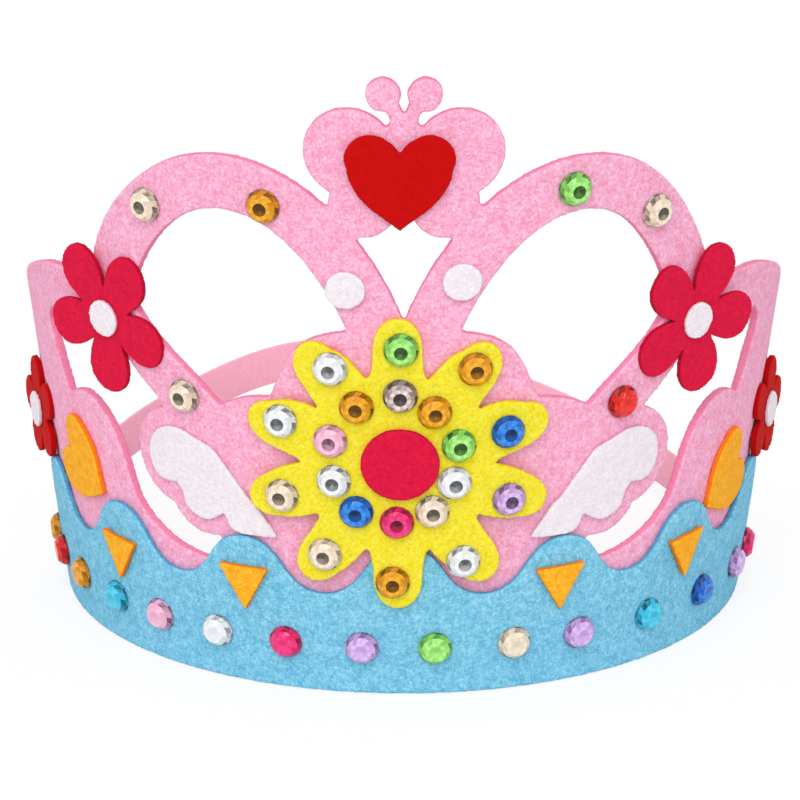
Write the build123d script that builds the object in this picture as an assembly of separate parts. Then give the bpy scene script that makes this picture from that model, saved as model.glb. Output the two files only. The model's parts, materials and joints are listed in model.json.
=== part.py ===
from build123d import *

import math
import os

# A child's dress-up crown of cut felt. The origin is the middle of the head opening, on the
# surface that the crown stands on. The front of the crown faces -Y, and left and right in the
# names are as seen from the front.
# Places on the crown are given as (along, up): millimetres round the band's bottom edge from
# the middle of the front, positive to the right, and millimetres up the leaning felt.

# Ring: radius, lean from upright in degrees, and felt thicknesses
ring_radius = 84.2
lean = 6.84
felt = 2.4
band_felt = 1.5
trim_felt = 1.5
wing_felt = 1.0
glue = 0.1
ring_end = 137

# Scalloped band
scallop_pitch = 36.7
scallop_peak = 38.5
scallop_dip = 26
scallop_fullness = 1.4

# Pink felt's right half: bottom strip with the side lobe, the gap above it, and the side loop
strip_height = 30
gap_start = 46
side_lobe = ((54, 31.3), (62, 35), (67.5, 40.5), (70, 48), (73.5, 57), (80, 63), (87, 63.5), (92, 61))
gap_back = ((95, 68), (98, 75))
gap_corner = (97.3, 80.3)
gap_top = (92, 82)
loop_root = (66, 80)
side_loop = ((70, 93), (80, 94.7), (92, 94.2), (104, 91), (116, 86), (127, 78))
end_height = 58

# Middle line of the big arch, from the middle of the front round to the body's shoulder
arch_width = 13
arch_line = (
    (3, 82), (6.4, 94.5), (14.3, 110.3), (24, 121), (34, 125.3), (44, 123.8), (55, 113.5),
    (62, 102), (65, 93.5), (62.5, 85), (54.8, 75.5), (44, 64),
)

# Right edge of the body behind the big flower, and of the lobe above it
body_foot = 20
body_edge = ((45, 20), (43, 36), (51, 58), (44, 68))
shoulder_middle = (37, 72.5)
lobe_edge = ((29, 74), (26.5, 80), (22.5, 87), (15, 91), (7, 91.5))

# Right wing: place and radius of each round end of its feathers. The pink felt behind the
# white wing shows as a margin.
wing_shoulder = (52.8, 55, 8.2)
wing_back = (46.4, 54.6, 6)
middle_feather = (46, 47.2, 6.5)
inner_feather = (37, 43.7, 5)
wing_tip = (29.2, 39.4, 0.6)
wing_margin = 4.4

# Butterfly: its height on the crown, and about its own middle the right half's lobes and
# bulb, each with a radius, its body and its feeler
butterfly_up = 130
upper_lobe = (12.4, 4.4, 10.2)
lower_lobe = (9.2, -7.8, 7.8)
body_half = 6
body_length = 18
feeler = ((0, 6), (5, 6), (3, 11.7), (3.6, 13.6), (4.7, 18), (1, 15.6), (0, 13.1))
feeler_bulb = (4.7, 18, 3.9)

# Round dots and flat-backed gems
dot_across = 9.8
gem_across = 8
gem_height = 2.5
gem_table = 4.6
gem_sides = 10
gem_up = 12.5

# Flowers, hearts and triangles
flower_up = 59.5
flower_reach = 36
flower_tip = 7.4
flower_root = 5.8
flower_petals = 10
flower_centre = 18.6
outer_gem_inset = 7.2
inner_gem_outset = 6.5
rose_reach = 20
rose_tip = 7.2
rose_root = 2.8
side_reach = 14
side_tip = 5
side_root = 2.2
small_petals = 5
flower_dot = 10
heart_across = 23.6
side_heart_across = 21.5
triangle_base = 12.4
triangle_drop = 11.4

# Elastic strap round the back of the head: its middle line as shares of the way from one end
# of the strap to the other, with the height there
strap_width = 10
strap_thick = 1
strap_overlap = 15
strap_line = (
    (0, 9), (0.18, 10), (0.32, 16.5), (0.42, 23), (0.525, 28.5), (0.6, 30), (0.7, 25.5),
    (0.805, 20.5), (1, 17),
)

# The rolled cut edges are built in stretches, from points along the flat outline. Outlines of
# the pieces that stand on the ground run below it, where their level bottom is.
wall_stretch = 25
wall_step = 5
wall_spare = 1
below_ground = 10

# The band's outer face at the ground, round which places are measured
edge_radius = ring_radius + (glue + band_felt) / math.cos(math.radians(lean))


class Layer:
    """A cone that flat felt is rolled onto, known by its radius at the ground and its lean."""

    def __init__(self, foot, lean_angle):
        self.foot = foot
        self.slope = math.radians(lean_angle)
        self.apex = foot / math.sin(self.slope)

    def fan(self, along):
        """Angle in the flat sheet of a distance round the band's bottom edge."""
        return along / edge_radius * math.sin(self.slope)

    def flat(self, along, up):
        """Point of the flat sheet that lands on a place on the crown."""
        reach, angle = self.apex + up, self.fan(along)
        return Vector(reach * math.sin(angle), reach * math.cos(angle) - self.apex)

    def spot(self, along, up, tilt=0):
        """Place in the flat sheet of a trimming that is drawn upright about its own middle."""
        return Pos(self.flat(along, up)) * Rot(Z=tilt - math.degrees(self.fan(along)))

    def reach(self, point):
        """Distance of a point of the flat sheet from the cone's tip."""
        return math.hypot(point.X, point.Y + self.apex)

    def turn(self, point):
        """Angle round the crown of a point of the flat sheet."""
        return math.atan2(point.X, point.Y + self.apex) / math.sin(self.slope)

    def rolled(self, point, out):
        """Point in space of a point of the flat sheet, at a distance out from the cone."""
        turn = self.turn(point)
        radius = self.reach(point) * math.sin(self.slope) + out * math.cos(self.slope)
        height = (self.reach(point) - self.apex) * math.cos(self.slope) - out * math.sin(self.slope)
        return Vector(radius * math.sin(turn), -radius * math.cos(turn), height)

    def stand(self, point, out):
        """Plane that touches the rolled sheet at a flat point, with its normal outward."""
        turn = self.turn(point)
        level = math.cos(self.slope)
        normal = Vector(math.sin(turn) * level, -math.cos(turn) * level, -math.sin(self.slope))
        sideways = Vector(math.cos(turn), math.sin(turn), 0)
        return Plane(self.rolled(point, out), x_dir=sideways, z_dir=normal)

    def blank(self, low, high, inner, outer, grounded, seam):
        """Whole ring of felt between two heights; a grounded one has a level bottom at z = 0."""
        corners = []
        for up, out in ((low, inner), (high, inner), (high, outer), (low, outer)):
            radius = self.foot + up * math.sin(self.slope) + out * math.cos(self.slope)
            height = up * math.cos(self.slope) - out * math.sin(self.slope)
            if grounded and up == low:
                radius = self.foot + out / math.cos(self.slope)
                height = 0
            corners.append((0, seam * radius, height))
        return revolve(make_face(Polyline(*corners, close=True)), Axis.Z, 360).solid()

    def walls(self, wire, inner, outer):
        """Closed wall across the felt's thickness, rolled from one outline of the flat sheet."""
        runs = []
        for edge in wire.order_edges():
            stretches = max(1, round(edge.length / wall_stretch))
            steps = max(2, math.ceil(edge.length / stretches / wall_step))
            for stretch in range(stretches):
                runs.append([edge @ ((stretch + step / steps) / stretches) for step in range(steps + 1)])
        faces = []
        for run, following in zip(runs, runs[1:] + runs[:1]):
            points = run[:-1] + following[:1]
            near = Edge.make_spline([self.rolled(point, inner - wall_spare) for point in points])
            far = Edge.make_spline([self.rolled(point, outer + wall_spare) for point in points])
            faces.append(Face.make_surface_from_curves(near, far))
        return Shell(faces)

    def roll(self, sheet, thickness, out=0, grounded=False, seam=1):
        """Cut felt: each face of a flat sketch bent onto this cone, with its holes."""
        solids = []
        for face in sheet.faces():
            edges = face.outer_wire().edges()
            reaches = [self.reach(edge @ (step / 4)) for edge in edges for step in range(5)]
            low = min(reaches) - self.apex - wall_step
            high = max(reaches) - self.apex + wall_step
            piece = self.blank(low, high, out, out + thickness, grounded, seam)
            for wire in (face.outer_wire(), *face.inner_wires()):
                parts = piece.split(self.walls(wire, out, out + thickness), Keep.ALL)
                plug, rest = sorted(parts, key=lambda part: part.volume)
                piece = plug if wire.length == face.outer_wire().length else rest
            solids.append(piece)
        return solids


def tilted(low_up, low_out, high_up, high_out):
    """Layer that leans from one distance off the pink felt to another, higher up."""
    change = math.degrees(math.atan2(high_out - low_out, high_up - low_up))
    slope = math.radians(lean)
    radius = ring_radius + low_up * math.sin(slope) + low_out * math.cos(slope)
    height = low_up * math.cos(slope) - low_out * math.sin(slope)
    return Layer(radius - height * math.tan(math.radians(lean + change)), lean + change)


# The pink felt's outer face is the cone that most pieces lie on. The big flower leans from the
# band's middle peak to the felt behind its top petal, and a side flower likewise.
base = Layer(ring_radius, lean)
on_felt = glue
on_band = glue + band_felt + glue
side_spot = (122, 48.5)
flower_layer = tilted(scallop_peak, on_band, flower_up + flower_reach, on_felt)
side_layer = tilted(scallop_peak, on_band, side_spot[1] + side_reach, on_felt)


def both(sketch):
    """A half outline with its mirror image about the middle of the front."""
    return sketch + mirror(sketch, Plane.YZ)


def outline(*edges):
    """Closed face from its edges, in order."""
    return make_face(Curve() + list(edges))


def curve(*places):
    """Smooth line of the flat sheet through places on the crown."""
    return Spline(*[base.flat(along, up) for along, up in places])


def line(*places):
    """Straight lines of the flat sheet between places on the crown."""
    return Polyline(*[base.flat(along, up) for along, up in places])


def arc(start, middle, end):
    """Round stretch of the flat sheet through three places on the crown."""
    return ThreePointArc(base.flat(*start), base.flat(*middle), base.flat(*end))


# Pink felt

def side():
    """Half of the bottom strip, with the side lobe and the side loop above it."""
    gap_low = (gap_start, strip_height)
    loop_end = (ring_end, end_height)
    return outline(
        curve(gap_low, *side_lobe),
        curve(side_lobe[-1], *gap_back),
        arc(gap_back[-1], gap_corner, gap_top),
        line(gap_top, loop_root, side_loop[0]),
        curve(*side_loop, loop_end),
        line(loop_end, (ring_end, -below_ground), (0, -below_ground), (0, strip_height), gap_low),
    )


def arch():
    """Big arch, an even strip of felt."""
    return trace(curve(*arch_line), arch_width)


def body():
    """Half of the field behind the big flower, with the lobe above it."""
    lobe_top = (0, lobe_edge[-1][1])
    return outline(
        line((0, body_foot), *body_edge),
        curve(body_edge[-1], shoulder_middle, lobe_edge[0]),
        curve(*lobe_edge),
        line(lobe_edge[-1], lobe_top, (0, body_foot)),
    )


def wing(margin=0):
    """Right wing with its three round feathers, with a margin all round where one is asked for."""
    ends = []
    for along, up, radius in (wing_shoulder, wing_back, middle_feather, inner_feather, wing_tip):
        ends.append(base.spot(along, up) * Circle(radius + margin))
    shoulder, back, middle, inner, tip = ends
    blade = make_hull((shoulder + back).edges() + tip.edges())
    return blade + middle + make_hull(inner.edges() + tip.edges())


def butterfly():
    """Half of the butterfly: two round lobes, the body and a feeler with its bulb."""
    drawn = Pos(body_half / 2, 0) * Rectangle(body_half, body_length)
    drawn += make_face(Polyline(*feeler, close=True))
    for across, up, radius in (upper_lobe, lower_lobe, feeler_bulb):
        drawn += Pos(across, up) * Circle(radius)
    return base.spot(0, butterfly_up) * drawn


def pink_felt():
    """The whole pink sheet, cut in one piece."""
    half = side() + body() + wing(wing_margin) + arch() + butterfly()
    return both(half)


# Scalloped band

def scallops():
    """Half of the band: rounded peaks one pitch apart, with the dips halfway."""
    halves = math.ceil(2 * ring_end / scallop_pitch)
    crests = []
    for half in range(halves + 1):
        along = half * scallop_pitch / 2
        level = Vector(1, 0).rotate(Axis.Z, -math.degrees(base.fan(along)))
        crests.append((along, scallop_dip if half % 2 else scallop_peak, level))
    waves = []
    for (start, low, level), (end, high, next_level) in zip(crests, crests[1:]):
        waves.append(Spline(base.flat(start, low), base.flat(end, high), tangents=(level, next_level),
                            tangent_scalars=(scallop_fullness, scallop_fullness)))
    last, last_up, _ = crests[-1]
    below, above = -below_ground, 2 * scallop_peak
    wave = outline(*waves, line((last, last_up), (last, below), (0, below), (0, scallop_peak)))
    strip = line((0, below), (0, above), (ring_end, above), (ring_end, below), (0, below))
    return wave & make_face(strip)


# Trimmings, each drawn flat and upright about its own middle

def flower(petals, reach, tip, root):
    """Flower of rounded petals that narrow towards the middle."""
    petal = make_hull((Pos(0, reach - tip) * Circle(tip)).edges() + (Pos(0, root) * Circle(root)).edges())
    drawn = Circle(root)
    for count in range(petals):
        drawn += Rot(Z=360 / petals * count) * petal
    return drawn


def heart(across):
    """Heart with a notch between its lobes, its widest line a little above the middle."""
    side_point = (across / 2, across * 0.17)
    notch, tip = (0, across * 0.21), (0, across * -0.54)
    lobe = Spline(side_point, (across * 0.29, across * 0.4), notch, tangents=((0, 1), (-0.6, -1)))
    flank = Spline(tip, side_point, tangents=((0.75, 0.66), (0, 1)))
    return both(outline(flank, lobe, Line(notch, tip)))


def triangle():
    """Triangle that hangs point down from its base."""
    half = triangle_base / 2
    return make_face(Polyline((-half, 0), (half, 0), (0, -triangle_drop), close=True))


def gem(place):
    """Flat-backed gem on a plane, with flat facets from its thin edge up to its table."""
    inset = (gem_across - gem_table) / 2
    taper = math.degrees(math.atan2(inset, gem_height))
    return place.location * extrude(RegularPolygon(gem_across / 2, gem_sides), gem_height, taper=taper)


# Places of the trimmings: (along, up, turn), with the turn in degrees

flower_spot = (-1.3, flower_up, 0)
heart_place = (-0.8, 129.6, 0)
arch_dots = {"left": (-11.7, 102.2, 0), "right": (11.5, 104.2, 0)}
roses = {"left": (-72, 86.5, -40), "right": (70, 86.5, -23)}
side_flowers = {"left": (-side_spot[0], side_spot[1], 8), "right": (*side_spot, -8)}
side_hearts = {"left": (-92.5, 47.5, 60), "right": (93, 43.5, -60)}
triangles = {
    "outer_left": (-77.5, 29, -4), "inner_left": (-37.8, 30.5, 0),
    "inner_right": (36.8, 30.7, 2), "outer_right": (76.5, 29.8, 4),
}

# Gems: place and colour of those on the band and on the arches, and the colours of the two
# rings on the big flower, from its top petal round to the left

band_gems = (
    (-113, "red"), (-96, "amber"), (-78, "aqua"), (-62, "pink"), (-45, "clear"), (-27.5, "magenta"),
    (-9.6, "lilac"), (7.1, "green"), (25.6, "champagne"), (42, "lilac"), (62.3, "aqua"),
    (83, "blue"), (104, "lilac"), (118, "magenta"), (-129, "amber"),
)
arch_gems = (
    (-54.4, 117.5, "champagne"), (-27.6, 121, "amber"), (-49.3, 71.5, "champagne"),
    (33.6, 124.5, "green"), (53.1, 116.3, "champagne"), (49.1, 70.1, "red"),
)
outer_gems = ("green", "clear", "clear", "champagne", "champagne", "amber", "clear", "lilac", "blue", "amber")
inner_gems = ("smoke", "amber", "pink", "clear", "blue", "magenta", "champagne", "clear", "green", "amber")


def strap():
    """Elastic strap, laid flat, from inside one end of the felt round the back to the other."""
    start = ring_end - strap_overlap
    way = math.tau * edge_radius - 2 * start
    return trace(curve(*[(start + share * way, up) for share, up in strap_line]), strap_width)


def write(name, solids):
    """One sub-part of the crown, of one solid or of several alike."""
    part = solids[0] if len(solids) == 1 else Compound(children=solids)
    export_step(part, f"parts/{name}.step")


def trim(name, layer, sheet, place, thickness, out):
    """A trimming cut from felt, rolled onto its layer at a place on the crown."""
    write(name, layer.roll(layer.spot(*place) * sheet, thickness, out))


def write_felt():
    """Pink felt, band, and the strap inside the felt's ends."""
    write("crown_felt", base.roll(pink_felt(), felt, -felt, grounded=True))
    write("crown_band", base.roll(both(scallops()), band_felt, glue, grounded=True))
    write("head_strap", base.roll(strap(), strap_thick, -felt - glue - strap_thick, seam=-1))


def write_front():
    """Big flower with its centre, the heart on the butterfly, and the triangles on the band."""
    petals = flower(flower_petals, flower_reach, flower_tip, flower_root)
    centre = Circle(flower_centre / 2)
    trim("big_flower", flower_layer, petals, flower_spot, trim_felt, 0)
    trim("big_flower_centre", flower_layer, centre, flower_spot, trim_felt, trim_felt + glue)
    trim("top_heart", base, heart(heart_across), heart_place, trim_felt, on_felt)
    for name, place in triangles.items():
        trim(f"triangle_{name}", base, triangle(), place, trim_felt, on_band)


def write_pairs():
    """Trimmings that come once on each side: wings, dots, roses, side flowers and hearts."""
    blades = {"left": mirror(wing(), Plane.YZ), "right": wing()}
    rose = flower(small_petals, rose_reach, rose_tip, rose_root)
    side_flower = flower(small_petals, side_reach, side_tip, side_root)
    dot = Circle(flower_dot / 2)
    for hand, blade in blades.items():
        write(f"wing_{hand}", base.roll(blade, wing_felt, on_felt))
        trim(f"arch_dot_{hand}", base, Circle(dot_across / 2), arch_dots[hand], wing_felt, on_felt)
        trim(f"rose_{hand}", base, rose, roses[hand], trim_felt, on_felt)
        trim(f"rose_dot_{hand}", base, dot, roses[hand], wing_felt, on_felt + trim_felt + glue)
        trim(f"side_flower_{hand}", side_layer, side_flower, side_flowers[hand], trim_felt, 0)
        trim(f"side_flower_dot_{hand}", side_layer, dot, side_flowers[hand], wing_felt, trim_felt + glue)
        trim(f"side_heart_{hand}", base, heart(side_heart_across), side_hearts[hand], trim_felt, on_felt)


def write_gems():
    """Gems of the band and arches one by one, and the big flower's by ring and colour."""
    for number, (along, colour) in enumerate(band_gems, 1):
        stone = gem(base.stand(base.flat(along, gem_up), on_band))
        write(f"gem_band_{number:02d}_{colour}", [stone])
    for number, (along, up, colour) in enumerate(arch_gems, 1):
        stone = gem(base.stand(base.flat(along, up), on_felt))
        write(f"gem_arch_{number}_{colour}", [stone])
    write_gem_ring("outer", outer_gems, flower_reach - outer_gem_inset)
    write_gem_ring("inner", inner_gems, flower_centre / 2 + inner_gem_outset)


def write_gem_ring(ring, colours, radius):
    """One gem on each petal of the big flower, at a radius from its middle."""
    stones = {}
    for count, colour in enumerate(colours):
        petal = flower_layer.spot(*flower_spot) * Rot(Z=360 / flower_petals * count) * Pos(0, radius)
        stone = gem(flower_layer.stand(petal.position, trim_felt + glue))
        stones.setdefault(colour, []).append(stone)
    for colour, group in stones.items():
        write(f"gems_{ring}_{colour}", group)


os.makedirs("parts", exist_ok=True)
write_felt()
write_front()
write_pairs()
write_gems()
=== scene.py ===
import json
import math

import bmesh
import bpy
from bpy.props import FloatProperty, FloatVectorProperty, IntProperty, PointerProperty
from bpy.types import Operator, Panel, PropertyGroup
from mathutils import Matrix, Vector


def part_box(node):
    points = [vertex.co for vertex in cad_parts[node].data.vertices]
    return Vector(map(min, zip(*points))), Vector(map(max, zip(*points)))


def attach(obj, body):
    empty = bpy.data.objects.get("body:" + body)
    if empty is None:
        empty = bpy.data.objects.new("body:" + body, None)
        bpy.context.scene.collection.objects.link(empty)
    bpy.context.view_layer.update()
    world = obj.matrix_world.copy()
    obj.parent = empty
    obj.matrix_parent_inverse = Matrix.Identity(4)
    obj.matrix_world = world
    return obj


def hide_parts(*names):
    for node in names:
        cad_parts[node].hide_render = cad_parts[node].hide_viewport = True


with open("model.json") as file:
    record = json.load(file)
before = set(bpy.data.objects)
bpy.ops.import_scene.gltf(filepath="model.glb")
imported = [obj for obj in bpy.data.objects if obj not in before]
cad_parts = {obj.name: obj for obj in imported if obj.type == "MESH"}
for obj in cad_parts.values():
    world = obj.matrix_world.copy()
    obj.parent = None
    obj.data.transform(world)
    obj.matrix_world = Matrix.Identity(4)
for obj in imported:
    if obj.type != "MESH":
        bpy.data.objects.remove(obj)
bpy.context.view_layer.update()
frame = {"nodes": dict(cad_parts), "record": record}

bl_info = {
    "name": "Felt Crown",
    "version": (1, 0, 0),
    "blender": (4, 5, 0),
    "location": "View3D > Sidebar > Felt Crown",
    "description": "Dresses a child's felt crown: cut felt, an elastic strap and flat-backed gems",
    "category": "Object",
}

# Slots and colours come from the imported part
SLOT_OF = {part["node"]: part["material_slot"] for part in frame["record"]["subparts"]}
COLOUR_OF = {row["slot"]: row["base_color"] for row in frame["record"]["materials"]}

# The pink felt's cone: lean from upright, and radius of its outer face at the ground, in metres
LEAN = math.radians(6.84)
RING_RADIUS = 0.0842

# Thickness in metres of the pink felt, of the coloured trimmings, and of the white pieces, which
# the elastic strap shares
PINK_FELT = 0.0024
THICK_FELT = 0.0015
THIN_FELT = 0.001

# Camera that matches the photograph, in metres and degrees, and in pixels of an 800 pixel frame
CAMERA_DISTANCE = 0.8745
CAMERA_PITCH = 18.138
CAMERA_SIDE = -0.0009
TARGET_HEIGHT = 0.04434
FOCAL_PIXELS = 3445.8
PHOTO_PIXELS = 800
SENSOR_MM = 36


def colour_property(slot, label, description):
    """Colour that a user may change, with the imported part's colour as its default."""
    return FloatVectorProperty(
        name=label,
        description=description,
        default=COLOUR_OF[slot],
        subtype="COLOR",
        size=3,
        min=0,
        max=1,
    )


def length_property(label, description, default):
    """Length that a user may change, in metres."""
    return FloatProperty(
        name=label,
        description=description,
        default=default,
        min=0,
        precision=5,
        unit="LENGTH",
        subtype="DISTANCE",
    )


class FeltSettings(PropertyGroup):
    """Sizes and colours of the felt."""

    pink: colour_property("pink_felt", "Pink", "Pink felt of ring, arches and butterfly")
    blue: colour_property("blue_felt", "Blue", "Blue felt of the scalloped band")
    yellow: colour_property("yellow_felt", "Yellow", "Yellow felt of the big flower")
    rose: colour_property("rose_felt", "Rose", "Rose felt of roses and the big flower's middle")
    red: colour_property("red_felt", "Red", "Red felt of the top heart and the side flowers")
    orange: colour_property("orange_felt", "Orange", "Orange felt of side hearts and triangles")
    white: colour_property("white_felt", "White", "White felt of the wings and the dots")
    grain: length_property("Grain", "Size of the mesh's cells on the ring and the band", 0.0005)
    fine_grain: length_property("Fine grain", "Size of the mesh's cells on trimmings", 0.0004)
    fuzz: length_property("Fuzz", "How far loose fibres roughen a cut edge", 0.00022)
    fuzz_size: length_property("Fuzz size", "Spacing of the rough places on a cut edge", 0.0011)
    kept: FloatProperty(
        name="Kept faces",
        description="Share of the faces that the ring and the band keep",
        default=0.31,
        min=0.1,
        max=1,
    )


class StrapSettings(PropertyGroup):
    """Sizes and colour of the elastic strap."""

    colour: colour_property("pink_elastic", "Colour", "Smooth pink elastic")
    width: length_property("Width", "Width of the strap", 0.01)
    rib: length_property("Rib spacing", "Distance between the woven ribs", 0.0008)


class GemSettings(PropertyGroup):
    """Facets and colours of the flat-backed gems."""

    facets: IntProperty(name="Facets", description="Facets round a gem", default=16, min=8, max=32)
    clear: colour_property("gem_clear", "Clear", "Clear gems")
    champagne: colour_property("gem_champagne", "Champagne", "Champagne gems")
    amber: colour_property("gem_amber", "Amber", "Amber gems")
    green: colour_property("gem_green", "Green", "Light green gems")
    blue: colour_property("gem_blue", "Blue", "Royal blue gems")
    lilac: colour_property("gem_lilac", "Lilac", "Lilac gems")
    smoke: colour_property("gem_smoke", "Smoke", "Smoky gems")
    pink: colour_property("gem_pink", "Pink", "Light pink gems")
    magenta: colour_property("gem_magenta", "Magenta", "Hot pink gems")
    red: colour_property("gem_red", "Red", "Red gems")
    aqua: colour_property("gem_aqua", "Aqua", "Aqua gems")


class StageSettings(PropertyGroup):
    """Floor and lamps."""

    floor_size: length_property("Floor size", "Width of the floor", 9)
    key_strength: FloatProperty(
        name="Key", description="Strength of the soft key lamp", default=1.4, min=0
    )
    sky_strength: FloatProperty(
        name="Sky", description="Strength of the even light all round", default=0.68, min=0
    )


class Wire:
    """Output of a shader node that takes part in Python arithmetic."""

    def __init__(self, shader, socket):
        self.shader = shader
        self.socket = socket

    def maths(self, operation, *values):
        """Math node with this output among its values."""
        inputs = dict(enumerate(values))
        return self.shader.node("ShaderNodeMath", {"operation": operation}, inputs)

    def __add__(self, other):
        return self.maths("ADD", self, other)

    def __radd__(self, other):
        return self.maths("ADD", other, self)

    def __sub__(self, other):
        return self.maths("SUBTRACT", self, other)

    def __rsub__(self, other):
        return self.maths("SUBTRACT", other, self)

    def __mul__(self, other):
        return self.maths("MULTIPLY", self, other)

    def __rmul__(self, other):
        return self.maths("MULTIPLY", other, self)

    def __abs__(self):
        return self.maths("ABSOLUTE", self)

    def span(self, low, high):
        """This value from 0 at low to 1 at high, held between them."""
        values = {"Value": self, "From Min": low, "From Max": high}
        return self.shader.node("ShaderNodeMapRange", {"clamp": True}, values)


class Shader:
    """Nodes of a material or a world, written as Python expressions."""

    def __init__(self, owner):
        owner.use_nodes = True
        self.tree = owner.node_tree
        self.tree.nodes.clear()

    def node(self, kind, settings=None, inputs=None, output=0):
        """New node: its settings first, then the values or links of its sockets."""
        made = self.tree.nodes.new(kind)
        for name, value in (settings or {}).items():
            setattr(made, name, value)
        for key, value in (inputs or {}).items():
            if isinstance(value, Wire):
                self.tree.links.new(value.socket, made.inputs[key])
            else:
                made.inputs[key].default_value = value
        return Wire(self, made.outputs[output] if made.outputs else None)

    def place(self):
        """Object coordinates."""
        return self.node("ShaderNodeTexCoord", output="Object")

    def noise(self, vector, scale, detail=3, roughness=0.6, output="Fac"):
        """Noise of a number of spots to the metre."""
        values = {"Vector": vector, "Scale": scale, "Detail": detail, "Roughness": roughness}
        return self.node("ShaderNodeTexNoise", {}, values, output)

    def stretched(self, vector, turn, scale):
        """Coordinates that are turned and drawn out."""
        values = {"Vector": vector, "Rotation": turn, "Scale": scale}
        return self.node("ShaderNodeMapping", {}, values)

    def vectors(self, operation, *values, output=0):
        """Vector Math node."""
        kind = "ShaderNodeVectorMath"
        return self.node(kind, {"operation": operation}, dict(enumerate(values)), output)

    def bumps(self, height, strength, distance):
        """Normal that a height tilts."""
        values = {"Strength": strength, "Distance": distance, "Height": height}
        return self.node("ShaderNodeBump", {}, values)

    def mixed(self, share, first, second):
        """Colour between two colours."""
        values = {0: share, 6: first, 7: second}
        return self.node("ShaderNodeMix", {"data_type": "RGBA"}, values, 2)

    def skin(self, values):
        """Principled surface with these values or links, joined to the output."""
        self.show(self.node("ShaderNodeBsdfPrincipled", {}, values))

    def show(self, surface, output="ShaderNodeOutputMaterial"):
        """Joins a surface to the output."""
        self.node(output, {}, {"Surface": surface})


def opaque(colour):
    """Colour with full alpha."""
    return (*colour, 1)


def between(first, second, share):
    """Colour part of the way from one colour to another."""
    return tuple(a + (b - a) * share for a, b in zip(first, second))


BLACK = (0, 0, 0)
WHITE = (1, 1, 1)

# Felt, in spots to the metre: its clouds, its mottling, its flecks, its nap, and the curls of its
# fibres with how far they reach, in metres
CLOUDS = 420
MOTTLING = 1150
FLECKS = 1400
NAP = 2600
CURLS = 700
CURL_REACH = 0.0016

# Two lays of fibres: how each is turned, in radians, and its spots to the metre along three axes
FIBRES = (((0.3, 0.5, 0.2), (2900, 2900, 560)), ((0.9, -0.6, 1.1), (560, 2900, 2900)))

# Where the noise begins and ends to count as a light fibre and as a fleck, and how squarely a face
# looks outward where it begins and ends to count as the felt's face and not its cut edge, which
# gets painted shade
FIBRE_RANGE = (0.42, 0.58)
FLECK_RANGE = (0.5, 0.66)
PAINTED_EDGE_SHADE_RANGE = (0.35, 0.8)


def felt_finish(material, colour, light, edge, fleck, flecked):
    """Pressed felt: cloudy colour, short curled fibres, flecks and painted shade on the cut edge.
    """
    shader = Shader(material)
    place = shader.place()
    cloud = shader.noise(place, CLOUDS, 2)
    mottle = shader.noise(place, MOTTLING, 3, 0.7)
    curls = shader.noise(place, CURLS, 1, output="Color")
    curl = shader.vectors("MULTIPLY_ADD", curls, (CURL_REACH,) * 3, place)
    across, slanted = [
        shader.noise(shader.stretched(curl, turn, scale), 1, 2) for turn, scale in FIBRES
    ]
    fibre = (across + slanted) * 0.5
    tone = (cloud * 0.2 + mottle * 0.35 + fibre * 0.45).span(*FIBRE_RANGE)
    face = shader.mixed(tone, opaque(between(colour, edge, 0.4)), opaque(light))
    spot = shader.noise(place, FLECKS, 2, 0.7).span(*FLECK_RANGE)
    face = shader.mixed(spot * flecked, face, opaque(fleck))
    # Painted shade: faces that look sideways, the cut edges, take the darker edge colour
    normal = shader.node("ShaderNodeNewGeometry", output="Normal")
    outward = shader.vectors("NORMALIZE", shader.vectors("MULTIPLY", place, (1, 1, 0)))
    facing = shader.vectors("DOT_PRODUCT", normal, outward, output="Value")
    cut = 1 - abs(facing).span(*PAINTED_EDGE_SHADE_RANGE)
    height = fibre * 0.7 + shader.noise(place, NAP, 2) * 0.3
    bump = shader.bumps(height, 0.45, 0.0003)
    shader.skin({
        "Base Color": shader.mixed(cut * 0.75, face, opaque(edge)),
        "Roughness": 0.95,
        "Normal": bump,
        "Sheen Weight": 0.03,
        "Specular IOR Level": 0.08,
    })


# Yarns of the elastic and clouds in the gems, in spots to the metre
YARNS = 900
GEM_CLOUDS = 900


def elastic_finish(material, colour, rib):
    """Smooth knitted elastic with fine ribs along it, lifted toward white as painted light."""
    shader = Shader(material)
    place = shader.place()
    height = shader.node("ShaderNodeSeparateXYZ", {}, {0: place}, "Z")
    knit = shader.node("ShaderNodeMath", {"operation": "SINE"}, {0: height * (math.tau / rib)})
    yarn = shader.noise(place, YARNS, 2)
    # Painted light: both yarn colours are lifted toward white, brightening the strap in the
    # crown's shade
    plain, pale = (opaque(between(colour, WHITE, share)) for share in (0.1, 0.2))
    skin = shader.mixed(yarn.span(0.35, 0.65), plain, pale)
    bump = shader.bumps(knit + yarn, 0.12, 0.0001)
    shader.skin({"Base Color": skin, "Roughness": 0.6, "Normal": bump, "Sheen Weight": 0.1})


def gem_finish(material, colour):
    """Foil-backed acrylic gem; each facet's tone paints its reflection, from black to bright."""
    shader = Shader(material)
    tone = shader.node("ShaderNodeAttribute", {"attribute_name": "tone"}, output="Fac")
    cloud = shader.noise(shader.place(), GEM_CLOUDS, 2)
    painted_shading = tone + (cloud - 0.5) * 0.35
    # Painted shade and painted highlight: a blackened and a brightened copy of the gem's colour
    painted_dark = between(colour, BLACK, 0.88)
    painted_lit = [(channel / max(colour)) ** 0.7 for channel in colour]
    body = shader.mixed(painted_shading.span(0.0, 0.45), opaque(painted_dark), opaque(colour))
    shader.skin({
        "Base Color": shader.mixed(painted_shading.span(0.5, 1.0), body, opaque(painted_lit)),
        "Roughness": 0.12,
        "Specular IOR Level": 0.12,
        "Coat Weight": 0.35,
        "Coat Roughness": 0.02,
    })


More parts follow.
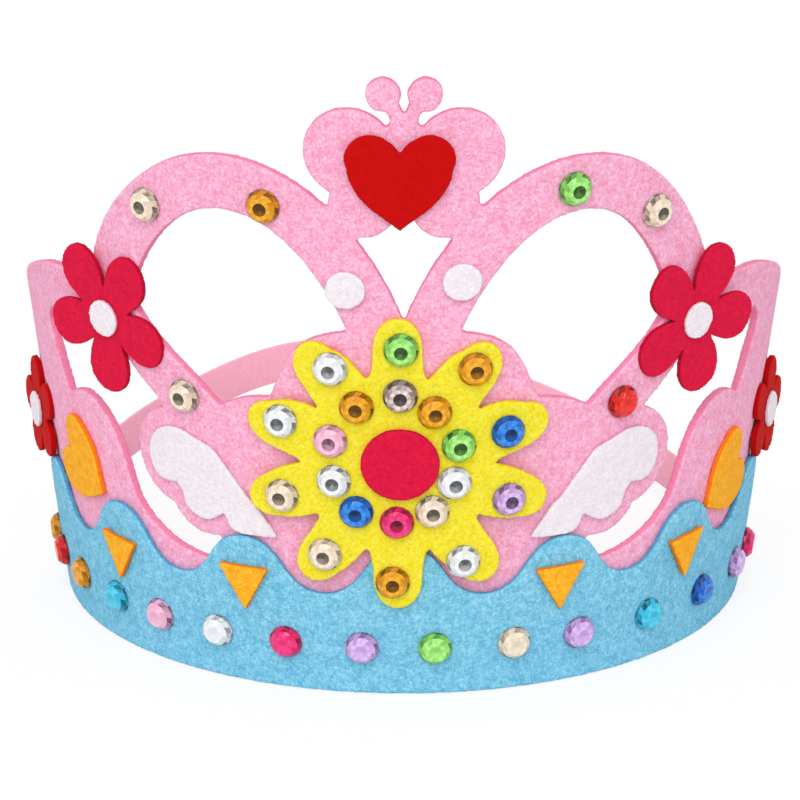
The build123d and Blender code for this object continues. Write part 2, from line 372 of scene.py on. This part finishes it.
# Floor: its pale grey, and how strongly and in what share it glows for the camera
FLOOR_GREY = (0.86, 0.86, 0.86)
FLOOR_GLOW = 1.08
FLOOR_GLOW_SHARE = 0.72


def floor_finish(material):
    """Pale floor that looks white to the camera and keeps the crown's soft shadow."""
    shader = Shader(material)
    matte = shader.node("ShaderNodeBsdfDiffuse", {}, {"Color": opaque(FLOOR_GREY)})
    values = {"Color": opaque(WHITE), "Strength": FLOOR_GLOW}
    glow = shader.node("ShaderNodeEmission", {}, values)
    rays = shader.node("ShaderNodeLightPath", output="Is Camera Ray")
    values = {0: rays * FLOOR_GLOW_SHARE, 1: matte, 2: glow}
    shader.show(shader.node("ShaderNodeMixShader", {}, values))


def studio_sky(world, strength):
    """Even light all round, in place of which the camera, gloss and glass see white."""
    shader = Shader(world)
    camera, glossy, through = [
        shader.node("ShaderNodeLightPath", output=f"Is {kind} Ray")
        for kind in ("Camera", "Glossy", "Transmission")
    ]
    white = (camera + glossy + through).span(0, 1)
    level = strength + white * (1 - strength)
    values = {"Color": opaque(WHITE), "Strength": level}
    sky = shader.node("ShaderNodeBackground", {}, values)
    shader.show(sky, "ShaderNodeOutputWorld")


def hands(name):
    """Names of the left and right piece of a pair."""
    return f"{name}_left", f"{name}_right"


def new_piece(name, shape, material):
    """Object made from a bmesh, with one material."""
    mesh = bpy.data.meshes.new(name)
    shape.to_mesh(mesh)
    shape.free()
    mesh.materials.append(material)
    piece = bpy.data.objects.new(name, mesh)
    bpy.context.scene.collection.objects.link(piece)
    return piece


def merged(node):
    """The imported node's shape with its loose triangles joined."""
    shape = bmesh.new()
    shape.from_mesh(frame["nodes"][node].data)
    bmesh.ops.remove_doubles(shape, verts=shape.verts, dist=1e-6)
    return shape


def applied(piece):
    """Gives the piece the mesh that its modifiers make, with smooth faces."""
    graph = bpy.context.evaluated_depsgraph_get()
    mesh = bpy.data.meshes.new_from_object(piece.evaluated_get(graph))
    piece.modifiers.clear()
    old = piece.data
    piece.data = mesh
    bpy.data.meshes.remove(old)
    mesh.name = piece.name
    for face in mesh.polygons:
        face.use_smooth = True


def stand_for(piece, node):
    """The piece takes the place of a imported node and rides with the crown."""
    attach(piece, "root")
    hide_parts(node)


def unrolled(point):
    """Place on the ring's unrolled outside: along the bottom edge, up, and outward, in metres."""
    x, y, z = point
    along = math.atan2(x, -y) * RING_RADIUS
    out = math.hypot(x, y) - RING_RADIUS - z * math.tan(LEAN)
    return Vector((along, z, out))


def rolled(place):
    """The point that unrolled() gave the place of."""
    along, up, out = place
    turn = along / RING_RADIUS
    radius = RING_RADIUS + out + up * math.tan(LEAN)
    return Vector((radius * math.sin(turn), -radius * math.cos(turn), up))


# The narrowest side given for a sheet, in metres, and the steps in degrees in which a blank is
# turned to find the tightest sheet round it
NARROWEST_SHEET = 0.01
BLANK_TURN = 3


def flat_cut(shape, thickness):
    """Width and length of the tightest sheet that the rolled shape is cut from, and its area."""
    flat = []
    for vertex in shape.verts:
        along, up, out = unrolled(vertex.co)
        turn = along / RING_RADIUS * math.sin(LEAN)
        reach = RING_RADIUS / math.sin(LEAN) + up / math.cos(LEAN) + out * math.sin(LEAN)
        flat.append(Vector((reach * math.sin(turn), reach * math.cos(turn))))
    sheets = []
    for degrees in range(0, 90, BLANK_TURN):
        turned = [point @ Matrix.Rotation(math.radians(degrees), 2) for point in flat]
        sheets.append([max(values) - min(values) for values in zip(*turned)])
    sides = min(sheets, key=math.prod)
    flat_size = tuple(max(side, NARROWEST_SHEET) for side in sides)
    return flat_size, shape.calc_volume() / thickness


def soften(piece, name, times):
    """Modifier that rounds and evens out a mesh."""
    smooth = piece.modifiers.new(name, "SMOOTH")
    smooth.factor = 0.5
    smooth.iterations = times


def felt_piece(node, material, thickness, grain, kept=1.0):
    """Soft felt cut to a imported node's shape, with rounded, slightly fuzzy edges. A mesh that
    keeps only a share of its faces is evened out once more."""
    settings = bpy.context.scene.crown_felt
    shape = merged(node)
    flat, area = flat_cut(shape, thickness)
    piece = new_piece(f"{node}_felt", shape, material)
    remesh = piece.modifiers.new("Cells", "REMESH")
    remesh.mode = "VOXEL"
    remesh.voxel_size = grain
    soften(piece, "Round", 4)
    if kept < 1:
        piece.modifiers.new("Fewer", "DECIMATE").ratio = kept
        soften(piece, "Even", 2)
    texture = bpy.data.textures.new(f"{node}_fuzz", "CLOUDS")
    texture.noise_scale = settings.fuzz_size
    texture.noise_depth = 1
    fuzz = piece.modifiers.new("Fuzz", "DISPLACE")
    fuzz.texture = texture
    fuzz.texture_coords = "LOCAL"
    fuzz.strength = settings.fuzz
    fuzz.mid_level = 0.5
    applied(piece)
    stand_for(piece, node)
    area = min(area, math.prod(flat))
    return piece


def eased(share):
    """The share with a soft start and end."""
    return share * share * (3 - 2 * share)


def middle_of(node):
    """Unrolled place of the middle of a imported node."""
    low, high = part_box(node)
    return unrolled([(a + b) / 2 for a, b in zip(low, high)])


# Petals, in shares of their flower's reach: where their tips begin, where they begin to be drawn
# in, and the length over which that grows. Then how quickly it fades beside a notch, and how sharp
# a notch is.
PETAL_TIP = 0.9
PETAL_WAIST = 0.46
PETAL_TAPER = 0.4
NOTCH_FADE = 5
NOTCH_SHARPNESS = 4


def shape_petals(piece, middle, count, slim, deep):
    """Draws a flat flower's petals in towards their tips and cuts the notches between them
    deeper."""
    centre = middle_of(middle)
    polar = []
    for vertex in piece.data.vertices:
        spoke = unrolled(vertex.co) - centre
        polar.append((math.hypot(*spoke.xy), math.atan2(spoke.y, spoke.x), spoke.z))
    reach = max(radius for radius, *_ in polar)
    tips = [angle * count for radius, angle, _ in polar if radius > PETAL_TIP * reach]
    axis = math.atan2(sum(map(math.sin, tips)), sum(map(math.cos, tips))) / count
    step = math.tau / count
    for vertex, (radius, angle, out) in zip(piece.data.vertices, polar):
        off = (angle - axis + step / 2) % step - step / 2
        side = abs(2 * off / step)
        taper = min(1, max(0, (radius / reach - PETAL_WAIST) / PETAL_TAPER))
        angle -= off * slim * eased(taper) * min(1, NOTCH_FADE * (1 - side))
        radius *= 1 - deep * side ** NOTCH_SHARPNESS
        spoke = Vector((radius * math.cos(angle), radius * math.sin(angle), out))
        vertex.co = rolled(centre + spoke)


def pinch(piece, centre, places, bell=False):
    """Draws an outline in or out. Each place is counted from the centre, with the step that the
    edge takes there and how far that reaches, in millimetres. The edge comes to a point there or,
    as a bell, stays round."""
    for vertex in piece.data.vertices:
        place = unrolled(vertex.co)
        for along, up, step_along, step_up, reach in places:
            far = ((place - centre).xy * 1000 - Vector((along, up))).length
            near = max(0, 1 - far / reach)
            share = eased(near) if bell else near * near
            place += Vector((step_along, step_up, 0)) * share / 1000
        vertex.co = rolled(place)


def settle(piece, node, along=0, up=0, size=1):
    """Moves a glued piece a little along and up the felt, in millimetres, and sizes it by a
    share."""
    centre = middle_of(node)
    for vertex in piece.data.vertices:
        place = unrolled(vertex.co)
        step = Vector((along, up, 0)) / 1000
        spread = (place - centre) * Vector((size, size, 1))
        vertex.co = rolled(centre + spread + step)


def lie_flat(piece, middle, turn, rise):
    """Lays a small stiff flower flat at its middle, turned a few degrees to the front. The rise in
    metres keeps its front petals on the felt."""
    centre = middle_of(middle)
    origin = rolled(centre)
    outward = (origin * Vector((1, 1, 0))).normalized()
    along = Vector((-outward.y, outward.x, 0))
    slope = Vector((0, 0, 1)) + outward * math.tan(LEAN)
    turned = Matrix.Rotation(math.radians(math.copysign(turn, -centre.x)), 3, "Z")
    for vertex in piece.data.vertices:
        place = unrolled(vertex.co) - centre
        flat = turned @ (along * place.x + outward * place.z) + outward * rise
        vertex.co = origin + flat + slope * place.y


def gem_seats(node):
    """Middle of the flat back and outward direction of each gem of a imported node."""
    shape = merged(node)
    seats = []
    left = set(shape.faces)
    while left:
        stone, edge = set(), [left.pop()]
        while edge:
            face = edge.pop()
            stone.add(face)
            near = {other for rim in face.edges for other in rim.link_faces} & left
            left -= near
            edge.extend(near)
        sides = {}
        for face in stone:
            sides.setdefault(tuple(round(part, 2) for part in face.normal), []).append(face)
        back = max(sides.values(), key=lambda faces: sum(face.calc_area() for face in faces))
        corners = {corner for face in back for corner in face.verts}
        middle = sum((corner.co for corner in corners), Vector()) / len(corners)
        seats.append((middle, -back[0].normal.copy()))
    shape.free()
    return sorted(seats, key=lambda seat: tuple(seat[0]))


# Gem, in metres, and the heart of its table as a share of the table's radius
GEM_RADIUS = 0.004
GEM_HEIGHT = 0.0025
GEM_HEART = 0.64

# Each ring of facets: its share of the gem's radius and height, how far it is turned, in facets,
# and its darkest tone of painted reflection
GEM_RINGS = ((1.0, 0.22, 0.0, 0.02), (0.84, 0.66, 0.5, 0.06), (0.62, 1.0, 0.5, 0.42))

# Painted reflections: tones that are added to a ring's darkest one, the darkest tone and the range
# round the heart, and how the tone of the heart itself differs from gem to gem and, as a painted
# glint, from its top to its bottom
PAINTED_FLASH_RANGE = 0.5
PAINTED_RIM_TONE = 0.66
PAINTED_RIM_RANGE = 0.34
PAINTED_HEART_STEP = 0.05
PAINTED_GLINT_RANGE = 0.5


def add_gem(shape, seat, outward, facets, number, heart):
    """One faceted gem: rings of facets drawn up from a round back to a table with a heart. Each
    face gets a painted reflection tone. Tones follow the facet's, the ring's and the gem's number,
    so that neighbours differ."""
    sideways = Vector((0, 0, 1)).cross(outward).normalized()
    place = Matrix((sideways, outward.cross(sideways), outward)).transposed().to_4x4()
    place.translation = seat
    tone = shape.faces.layers.float.get("tone") or shape.faces.layers.float.new("tone")
    known = set(shape.faces)
    back = bmesh.ops.create_circle(shape, cap_ends=True, segments=facets, radius=GEM_RADIUS)
    rim = back["verts"]
    table = rim[0].link_faces[0]
    radius, level = 1.0, 0.0
    for ring, (share, height, turn, darkest) in enumerate(GEM_RINGS):
        grown = bmesh.ops.extrude_face_region(shape, geom=[table])
        table = next(part for part in grown["geom"] if isinstance(part, bmesh.types.BMFace))
        swing = Matrix.Rotation(math.tau * turn / facets, 3, "Z")
        narrower = (share / radius, share / radius, 1)
        higher = (0, 0, (height - level) * GEM_HEIGHT)
        bmesh.ops.scale(shape, vec=narrower, verts=table.verts)
        bmesh.ops.rotate(shape, cent=(0, 0, 0), matrix=swing, verts=table.verts)
        bmesh.ops.translate(shape, vec=higher, verts=table.verts)
        radius, level = share, height
        for count, edge in enumerate(table.edges):
            # Painted reflection: each facet's tone is set by its number
            painted_flash = (count * 7 + number * 5 + ring * 3) % 10 / 10
            for face in set(edge.link_faces) - {table}:
                face[tone] = darkest + PAINTED_FLASH_RANGE * painted_flash
    width = GEM_RADIUS * radius * (1 - GEM_HEART)
    inset = bmesh.ops.inset_region(shape, faces=[table], thickness=width, use_even_offset=True)
    for count, face in enumerate(inset["faces"]):
        face[tone] = PAINTED_RIM_TONE + PAINTED_RIM_RANGE * ((count * 3 + number) % 7) / 7
    for face in bmesh.ops.poke(shape, faces=[table])["faces"]:
        # Painted glint: the table's middle is painted brighter towards its bottom
        painted_glint = face.calc_center_median().y / GEM_RADIUS
        face[tone] = max(0.0, heart + PAINTED_HEART_STEP * (number % 4) - PAINTED_GLINT_RANGE * painted_glint)
    open_edges = [edge for corner in rim for edge in corner.link_edges if edge.is_boundary]
    bmesh.ops.holes_fill(shape, edges=open_edges)
    fresh = [face for face in shape.faces if face not in known]
    corners = list({corner for face in fresh for corner in face.verts})
    bmesh.ops.recalc_face_normals(shape, faces=fresh)
    bmesh.ops.transform(shape, matrix=place, verts=corners)


# How far the big flower's hand-glued gems lie from their regular seats, from left to right:
# sideways and up the felt, in millimetres
GEM_STEPS = {
    "gems_inner_amber": ((0.2, 1.8), (-1.1, 0.7)),
    "gems_inner_blue": ((0.0, 1.4),),
    "gems_inner_champagne": ((-1.6, 1.7),),
    "gems_inner_clear": ((0.7, 0.9), (-2.4, 0.7)),
    "gems_inner_green": ((-1.4, 0.2),),
    "gems_inner_magenta": ((-0.2, 2.0),),
    "gems_inner_pink": ((0.0, 1.1),),
    "gems_inner_smoke": ((0.6, 1.8),),
    "gems_outer_amber": ((-1.2, -0.2), (0.3, 0.3)),
    "gems_outer_blue": ((-2.6, -1.4),),
    "gems_outer_champagne": ((1.0, 0.0), (0.4, 0.6)),
    "gems_outer_clear": ((0.9, 0.8), (2.0, 0.3), (-2.2, -0.8)),
    "gems_outer_green": ((0.8, 0.0),),
    "gems_outer_lilac": ((-2.2, -0.5),),
}


# Gems whose middle gets a pale painted reflection and not a black one, by the start of their
# nodes' names, and the tone of that painted middle
GEMS_WITH_PAINTED_PALE_MIDDLE = ("gem_band", "gem_arch_6_red")
PAINTED_PALE_MIDDLE = 0.62


def gem_piece(node, material):
    """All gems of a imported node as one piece."""
    facets = bpy.context.scene.crown_gems.facets
    steps = GEM_STEPS.get(node)
    # The middle of every other gem's table is a painted near-black reflection
    heart = PAINTED_PALE_MIDDLE if node.startswith(GEMS_WITH_PAINTED_PALE_MIDDLE) else 0.0
    shape = bmesh.new()
    for number, (seat, outward) in enumerate(gem_seats(node)):
        if steps:
            sideways = Vector((0, 0, 1)).cross(outward).normalized()
            across, up = steps[number]
            seat = seat + (sideways * across + outward.cross(sideways) * up) / 1000
        add_gem(shape, seat, outward, facets, number + len(node), heart)
    piece = new_piece(f"{node}_stone", shape, material)
    stand_for(piece, node)
    return piece


# Felt by colour: its light fibres, its cut edges' painted shade, which its dark fibres also lean
# toward, its flecks, and how strong the flecks are
FELT_TONES = {
    "pink": ((1.0, 0.6, 0.8), (0.86, 0.2, 0.36), (0.86, 0.24, 0.44), 0.5),
    "blue": ((0.34, 0.74, 0.94), (0.05, 0.32, 0.52), (0.09, 0.42, 0.66), 0.5),
    "yellow": ((0.97, 0.88, 0.08), (0.85, 0.6, 0.004), (0.66, 0.6, 0.02), 0.6),
    "rose": ((0.82, 0.012, 0.052), (0.42, 0.002, 0.025), (0.6, 0.004, 0.06), 0.4),
    "red": ((0.62, 0.004, 0.003), (0.36, 0.001, 0.001), (0.5, 0.002, 0.002), 0.4),
    "orange": ((1.0, 0.59, 0.035), (1.0, 0.13, 0.002), (0.95, 0.4, 0.01), 0.5),
    "white": ((0.95, 0.9, 0.93), (0.74, 0.62, 0.7), (0.78, 0.66, 0.74), 0.4),
}


def felt_of(slot):
    """Finish of a felt slot, made once."""
    finish = f"{slot}_finish"
    if finish not in bpy.data.materials:
        name = slot.removesuffix("_felt")
        colour = tuple(getattr(bpy.context.scene.crown_felt, name))
        felt_finish(bpy.data.materials.new(finish), colour, *FELT_TONES[name])
    return bpy.data.materials[finish]


def gem_of(slot):
    """Finish of a gem slot, made once."""
    finish = f"{slot}_finish"
    if finish not in bpy.data.materials:
        colour = tuple(getattr(bpy.context.scene.crown_gems, slot.removeprefix("gem_")))
        gem_finish(bpy.data.materials.new(finish), colour)
    return bpy.data.materials[finish]


# The arches' outer shoulders, left and right: place on the unrolled felt, step along and up it,
# and how far that reaches, in millimetres
SHOULDERS = ((-66, 108, -4, 0, 40), (66, 108, 1, 0, 40))


class CROWN_OT_ring(Operator):
    """Makes the pink felt ring with its arches, side loops and butterfly"""

    bl_idname = "crown.ring"
    bl_label = "Pink felt"

    def execute(self, context):
        felt = context.scene.crown_felt
        pink = felt_of("pink_felt")
        ring = felt_piece("crown_felt", pink, PINK_FELT, felt.grain, felt.kept)
        pinch(ring, Vector(), SHOULDERS, bell=True)
        return {"FINISHED"}


# Steps of the triangles towards the front and up the felt, in millimetres
TRIANGLE_STEPS = {"outer": (4, 1), "inner": (1.2, 0.8)}


class CROWN_OT_band(Operator):
    """Makes the blue scalloped band and its four triangles"""

    bl_idname = "crown.band"
    bl_label = "Scalloped band"

    def execute(self, context):
        felt = context.scene.crown_felt
        blue = felt_of("blue_felt")
        felt_piece("crown_band", blue, THICK_FELT, felt.grain, felt.kept)
        orange = felt_of("orange_felt")
        for row, (inward, up) in TRIANGLE_STEPS.items():
            for node, side in zip(hands(f"triangle_{row}"), (1, -1)):
                piece = felt_piece(node, orange, THICK_FELT, felt.fine_grain)
                settle(piece, node, inward * side, up)
        return {"FINISHED"}


# Rounding of the strap's edges in metres, and the least angle in degrees of what is an edge
STRAP_ROUNDING = 0.00025
STRAP_EDGE = 50


class CROWN_OT_strap(Operator):
    """Makes the elastic strap round the back"""

    bl_idname = "crown.strap"
    bl_label = "Elastic strap"

    def execute(self, context):
        strap = context.scene.crown_strap
        material = bpy.data.materials.new("pink_elastic_finish")
        elastic_finish(material, tuple(strap.colour), strap.rib)
        shape = merged("head_strap")
        area = shape.calc_volume() / THIN_FELT
        piece = new_piece("head_strap_elastic", shape, material)
        edges = piece.modifiers.new("Round", "BEVEL")
        edges.width = STRAP_ROUNDING
        edges.segments = 2
        edges.limit_method = "ANGLE"
        edges.angle_limit = math.radians(STRAP_EDGE)
        applied(piece)
        stand_for(piece, "head_strap")
        width = round(strap.width, 5)
        flat = (width, area / width)
        return {"FINISHED"}


# The big flower: petals, how far they are drawn in, and how deep their notches. Its middle: steps
# along and up the felt in millimetres, and size.
BIG_PETALS = (10, 0.24, 0.08)
BIG_MIDDLE = (0.5, 0.9, 0.94)


class CROWN_OT_flower(Operator):
    """Makes the big yellow flower and its middle"""

    bl_idname = "crown.flower"
    bl_label = "Big flower"

    def execute(self, context):
        grain = context.scene.crown_felt.fine_grain
        yellow, rose = felt_of("yellow_felt"), felt_of("rose_felt")
        name, middle_name = "big_flower", "big_flower_centre"
        flower = felt_piece(name, yellow, THICK_FELT, grain)
        shape_petals(flower, middle_name, *BIG_PETALS)
        middle = felt_piece(middle_name, rose, THICK_FELT, grain)
        settle(middle, middle_name, *BIG_MIDDLE)
        return {"FINISHED"}


# The two kinds of small flower: name, felt, how deep their notches are drawn, turn to the front in
# degrees, rise in metres, and the steps towards the front and up the felt in millimetres
FLOWER_FITS = (
    ("rose", "rose_felt", 0.32, 9, 0.0007, 3.8, 1.0),
    ("side_flower", "red_felt", 0.1, 9, 0, 4.6, 0),
)

# Petals of a small flower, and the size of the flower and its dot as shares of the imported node's
SMALL_PETALS = 5
SMALL_FLOWER = 0.95
SMALL_DOT = 0.9


class CROWN_OT_side_flowers(Operator):
    """Makes the two roses and the two small side flowers with their white middles"""

    bl_idname = "crown.side_flowers"
    bl_label = "Roses and side flowers"

    def execute(self, context):
        grain = context.scene.crown_felt.fine_grain
        for name, slot, deep, turn, rise, inward, up in FLOWER_FITS:
            for node, middle, side in zip(hands(name), hands(f"{name}_dot"), (1, -1)):
                flower = felt_piece(node, felt_of(slot), THICK_FELT, grain)
                dot = felt_piece(middle, felt_of("white_felt"), THIN_FELT, grain)
                shape_petals(flower, middle, SMALL_PETALS, 0, deep)
                for piece, size in ((flower, SMALL_FLOWER), (dot, SMALL_DOT)):
                    settle(piece, middle, size=size)
                    lie_flat(piece, middle, turn, rise)
                    settle(piece, middle, inward * side, up)
        return {"FINISHED"}


# Steps of the left and the right side heart along and up the felt, in millimetres
HEART_STEPS = ((3.4, -3.1), (-2, -3.1))


class CROWN_OT_hearts(Operator):
    """Makes the top heart and the two side hearts"""

    bl_idname = "crown.hearts"
    bl_label = "Hearts"

    def execute(self, context):
        grain = context.scene.crown_felt.fine_grain
        felt_piece("top_heart", felt_of("red_felt"), THICK_FELT, grain)
        orange = felt_of("orange_felt")
        for node, step in zip(hands("side_heart"), HEART_STEPS):
            settle(felt_piece(node, orange, THICK_FELT, grain), node, *step)
        return {"FINISHED"}


# The left wing's two notches between its feathers, from its middle: place, step of the edge, and
# reach in millimetres. The right wing has them in mirror image. Then the size of an arch's dot, as
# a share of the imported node's.
WING_NOTCHES = ((-9.2, -3.2, 1.2, 2.4, 6), (2.2, -9.2, 0.9, 1.3, 5))
ARCH_DOT = 0.92


class CROWN_OT_wings(Operator):
    """Makes the white wings and the white dots on the arches"""

    bl_idname = "crown.wings"
    bl_label = "Wings and dots"

    def execute(self, context):
        grain = context.scene.crown_felt.fine_grain
        white = felt_of("white_felt")
        for node, side in zip(hands("wing"), (1, -1)):
            wing = felt_piece(node, white, THIN_FELT, grain)
            notches = [
                (along * side, up, inward * side, deep, reach)
                for along, up, inward, deep, reach in WING_NOTCHES
            ]
            pinch(wing, middle_of(node), notches)
        for node in hands("arch_dot"):
            settle(felt_piece(node, white, THIN_FELT, grain), node, size=ARCH_DOT)
        return {"FINISHED"}


class CROWN_OT_gems(Operator):
    """Makes every flat-backed gem"""

    bl_idname = "crown.gems"
    bl_label = "Gems"

    def execute(self, context):
        for node, slot in SLOT_OF.items():
            if slot.startswith("gem_"):
                gem_piece(node, gem_of(slot))
        return {"FINISHED"}


# Gap between the crown and the floor in metres, and the key lamp's breadth and turn in degrees
FLOOR_GAP = 0.0002
KEY_BREADTH = 40
KEY_TURN = (48, 0, -6)


class CROWN_OT_stage(Operator):
    """Makes the pale floor, the soft light and the camera"""

    bl_idname = "crown.stage"
    bl_label = "Stage"

    def execute(self, context):
        stage = context.scene.crown_stage
        shape = bmesh.new()
        bmesh.ops.create_grid(shape, x_segments=1, y_segments=1, size=stage.floor_size / 2)
        bmesh.ops.translate(shape, vec=(0, 0, -FLOOR_GAP), verts=shape.verts)
        material = bpy.data.materials.new("pale_floor")
        floor_finish(material)
        new_piece("floor", shape, material)
        self.light_up(context, stage)
        self.aim_camera(context)
        return {"FINISHED"}

    def light_up(self, context, stage):
        """Even light all round and a soft key lamp from the front left."""
        world = bpy.data.worlds.new("studio")
        studio_sky(world, stage.sky_strength)
        context.scene.world = world
        key = bpy.data.lights.new("key", "SUN")
        key.energy = stage.key_strength
        key.angle = math.radians(KEY_BREADTH)
        lamp = bpy.data.objects.new("key", key)
        lamp.rotation_euler = [math.radians(turn) for turn in KEY_TURN]
        context.scene.collection.objects.link(lamp)

    def aim_camera(self, context):
        """Camera at the photograph's place, level and pitched down."""
        pitch = math.radians(CAMERA_PITCH)
        lens = bpy.data.cameras.new("camera")
        lens.sensor_width = SENSOR_MM
        lens.lens = FOCAL_PIXELS / PHOTO_PIXELS * SENSOR_MM
        camera = bpy.data.objects.new("camera", lens)
        camera.location = (
            CAMERA_SIDE,
            -CAMERA_DISTANCE * math.cos(pitch),
            TARGET_HEIGHT + CAMERA_DISTANCE * math.sin(pitch),
        )
        camera.rotation_euler = (math.pi / 2 - pitch, 0, 0)
        context.scene.collection.objects.link(camera)
        context.scene.camera = camera
        context.scene.view_settings.view_transform = "Standard"


class CROWN_PT_panel(Panel):
    """Sidebar panel that lists the crown's settings and operators"""

    bl_label = "Felt Crown"
    bl_idname = "CROWN_PT_panel"
    bl_space_type = "VIEW_3D"
    bl_region_type = "UI"
    bl_category = "Felt Crown"

    def draw(self, context):
        column = self.layout.column()
        for group in SETTINGS:
            settings = getattr(context.scene, group)
            for name in settings.bl_rna.properties.keys():
                if name not in ("rna_type", "name"):
                    column.prop(settings, name)
        for operator in OPERATORS:
            column.operator(operator.bl_idname)


SETTINGS = {
    "crown_felt": FeltSettings,
    "crown_strap": StrapSettings,
    "crown_gems": GemSettings,
    "crown_stage": StageSettings,
}
OPERATORS = (
    CROWN_OT_ring, CROWN_OT_band, CROWN_OT_strap, CROWN_OT_flower, CROWN_OT_side_flowers,
    CROWN_OT_hearts, CROWN_OT_wings, CROWN_OT_gems, CROWN_OT_stage,
)


def register():
    """Registers the settings, the operators and the panel."""
    for kind in (*SETTINGS.values(), *OPERATORS, CROWN_PT_panel):
        bpy.utils.register_class(kind)
    for name, group in SETTINGS.items():
        setattr(bpy.types.Scene, name, PointerProperty(type=group))


def unregister():
    """Takes away what register added."""
    for name in SETTINGS:
        delattr(bpy.types.Scene, name)
    for kind in reversed((*SETTINGS.values(), *OPERATORS, CROWN_PT_panel)):
        bpy.utils.unregister_class(kind)


def main():
    """Dresses the whole crown."""
    register()
    bpy.ops.crown.stage()
    bpy.ops.crown.ring()
    bpy.ops.crown.band()
    bpy.ops.crown.strap()
    bpy.ops.crown.flower()
    bpy.ops.crown.side_flowers()
    bpy.ops.crown.hearts()
    bpy.ops.crown.wings()
    bpy.ops.crown.gems()


if __name__ == "__main__":
    main()
